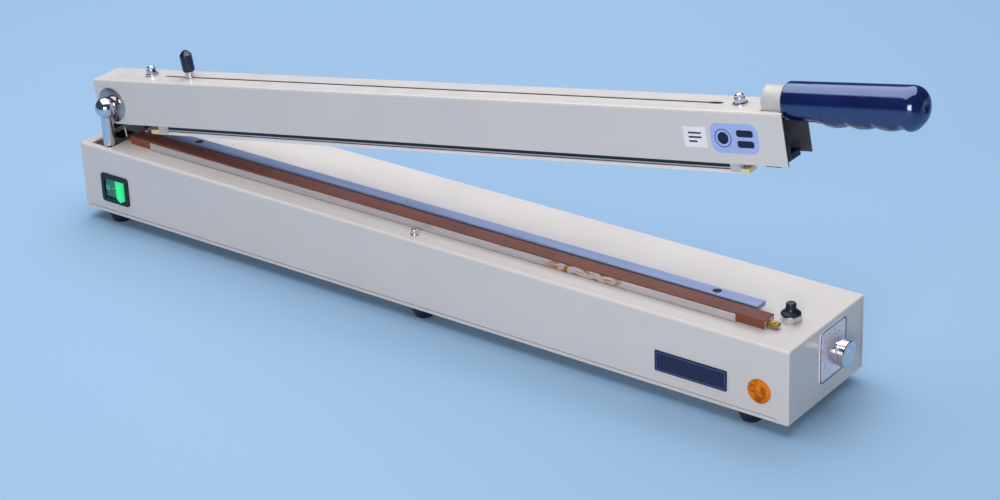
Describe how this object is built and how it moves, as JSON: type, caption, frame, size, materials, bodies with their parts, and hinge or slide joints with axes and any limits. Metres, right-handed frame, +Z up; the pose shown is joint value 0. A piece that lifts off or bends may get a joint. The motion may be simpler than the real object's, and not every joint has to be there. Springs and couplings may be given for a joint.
{
  "type": "impulse heat sealer",
  "caption": "Bench-top impulse heat sealer: long sheet-metal base with a heated bar, hinged pressing arm with sliding knife, rubber grip, timer dial, switch and lamp.",
  "frame": {"origin": "under the middle of the whole machine, on the surface that its feet stand on", "axes": "+X to the right along the seal, from the hinge to the handle; +Y to the back; +Z up. The arm stands open at rest."},
  "size_m": [0.7954, 0.1258, 0.2798],
  "materials": {
    "cream_enamel": "warm light-grey fine-textured stove enamel",
    "black_enamel": "satin black enamel",
    "chrome": "polished bright chrome",
    "bright_steel": "bright zinc-plated steel",
    "spring_steel": "oiled spring steel",
    "nickel_disc": "polished nickel-plated disc",
    "anodised_rail": "satin clear-anodised aluminium",
    "bar_alloy": "mill-finish extruded aluminium",
    "heater_metal": "heat-tinted nickel-chrome band",
    "brass_fitting": "dull brass",
    "brown_cloth": "brown PTFE-coated glass cloth",
    "bar_trim": "black plastic profile insert",
    "white_cap": "white plastic",
    "silicone": "translucent white silicone rubber",
    "black_rubber": "black rubber",
    "black_plastic": "black moulded plastic",
    "knob_plastic": "glossy blue-black plastic",
    "blue_vinyl": "glossy dark-blue dipped vinyl",
    "rocker_green": "glowing green translucent plastic",
    "lens_orange": "orange translucent plastic",
    "plate_navy": "navy blank name plate with a light frame",
    "plate_dial": "printed aluminium dial plate with graduations",
    "transformer_core": "varnished laminated core",
    "circuit_board": "green circuit board",
    "wire_pvc": "insulated leads"
  },
  "bodies": {
    "base": {"band_terminal_fixed": "brass_fitting", "bottom_plate": "cream_enamel", "button_nut": "bright_steel", "button_switch": "black_plastic", "cable_gland": "black_plastic", "chassis_screws": "bright_steel", "clamp_strip": "bar_alloy", "cutting_rail": "anodised_rail", "dial_plate": "plate_dial", "film_peg": "bright_steel", "heating_band": "heater_metal", "hinge_posts": "chrome", "hinge_yoke": "black_enamel", "housing": "cream_enamel", "insulation_strip": "brown_cloth", "lamp_body": "black_plastic", "name_plate": "plate_navy", "panel_screws": "bright_steel", "potentiometer": "black_plastic", "ptfe_cover": "brown_cloth", "rail_screws": "bright_steel", "rail_spacers": "anodised_rail", "rear_panel": "cream_enamel", "return_spring": "spring_steel", "rocker_switch_body": "black_plastic", "rubber_feet": "black_rubber", "sealing_bar": "bar_alloy", "signal_lens": "lens_orange", "stop_rod": "bright_steel", "tension_spring": "spring_steel", "timer_board": "circuit_board", "transformer": "transformer_core", "wiring": "wire_pvc"},
    "arm": {"arm_channel": "cream_enamel", "pivot_axle": "bright_steel", "pivot_discs": "nickel_disc", "spring_pin": "bright_steel", "arm_stop": "black_enamel", "handle_bracket": "black_enamel", "handle_tube": "bright_steel", "handle_sleeve": "white_cap", "handle_grip": "blue_vinyl", "button_pad": "black_rubber", "bar_springs": "spring_steel"},
    "pressing_bar": {"pressure_bar": "bar_alloy", "bar_insert": "bar_trim", "upper_ptfe_strip": "brown_cloth", "silicone_strip": "silicone", "bar_end_caps": "white_cap", "hanger_studs": "bright_steel", "stud_washers": "bright_steel", "acorn_nuts": "chrome"},
    "knife": {"knife_carriage": "bright_steel", "knife_blade": "spring_steel", "cutter_knob": "knob_plastic"},
    "rocker": {"rocker_button": "rocker_green"},
    "timer_dial": {"timer_knob": "chrome"},
    "start_button": {"button_plunger": "black_plastic", "button_boot": "black_rubber"},
    "band_tensioner": {"band_terminal_sliding": "brass_fitting"}
  },
  "joints": [
    {"name": "arm_hinge", "type": "hinge", "parent": "base", "child": "arm", "pos_m": [-0.37173, -0.02256, 0.1044], "axis": [0, 1, 0], "range_deg": [0, 10.05], "stiffness_Nm_per_rad": 10, "springref_deg": -34.38, "deforming": ["return_spring"]},
    {"name": "bar_float", "type": "slide", "parent": "arm", "child": "pressing_bar", "axis": [-0.1745, 0, 0.9847], "range_m": [0, 0.003], "stiffness_N_per_m": 2000, "springref_m": -0.003, "deforming": ["bar_springs"]},
    {"name": "knife_slide", "type": "slide", "parent": "arm", "child": "knife", "axis": [0.9847, 0, 0.1745], "range_m": [-0.026, 0.52]},
    {"name": "rocker_tilt", "type": "hinge", "parent": "base", "child": "rocker", "pos_m": [-0.35923, -0.05526, 0.0345], "axis": [0, 0, 1], "range_deg": [0, 26]},
    {"name": "timer_turn", "type": "hinge", "parent": "base", "child": "timer_dial", "pos_m": [0.31227, 0.00234, 0.0465], "axis": [1, 0, 0], "range_deg": [-135, 135]},
    {"name": "button_press", "type": "slide", "parent": "base", "child": "start_button", "axis": [0, 0, -1], "range_m": [0, 0.003], "stiffness_N_per_m": 600, "springref_m": -0.001, "deforming": ["button_boot"]},
    {"name": "band_tension", "type": "slide", "parent": "base", "child": "band_tensioner", "axis": [-1, 0, 0], "range_m": [0, 0.002], "stiffness_N_per_m": 1500, "springref_m": -0.002, "deforming": ["tension_spring"]}
  ]
}
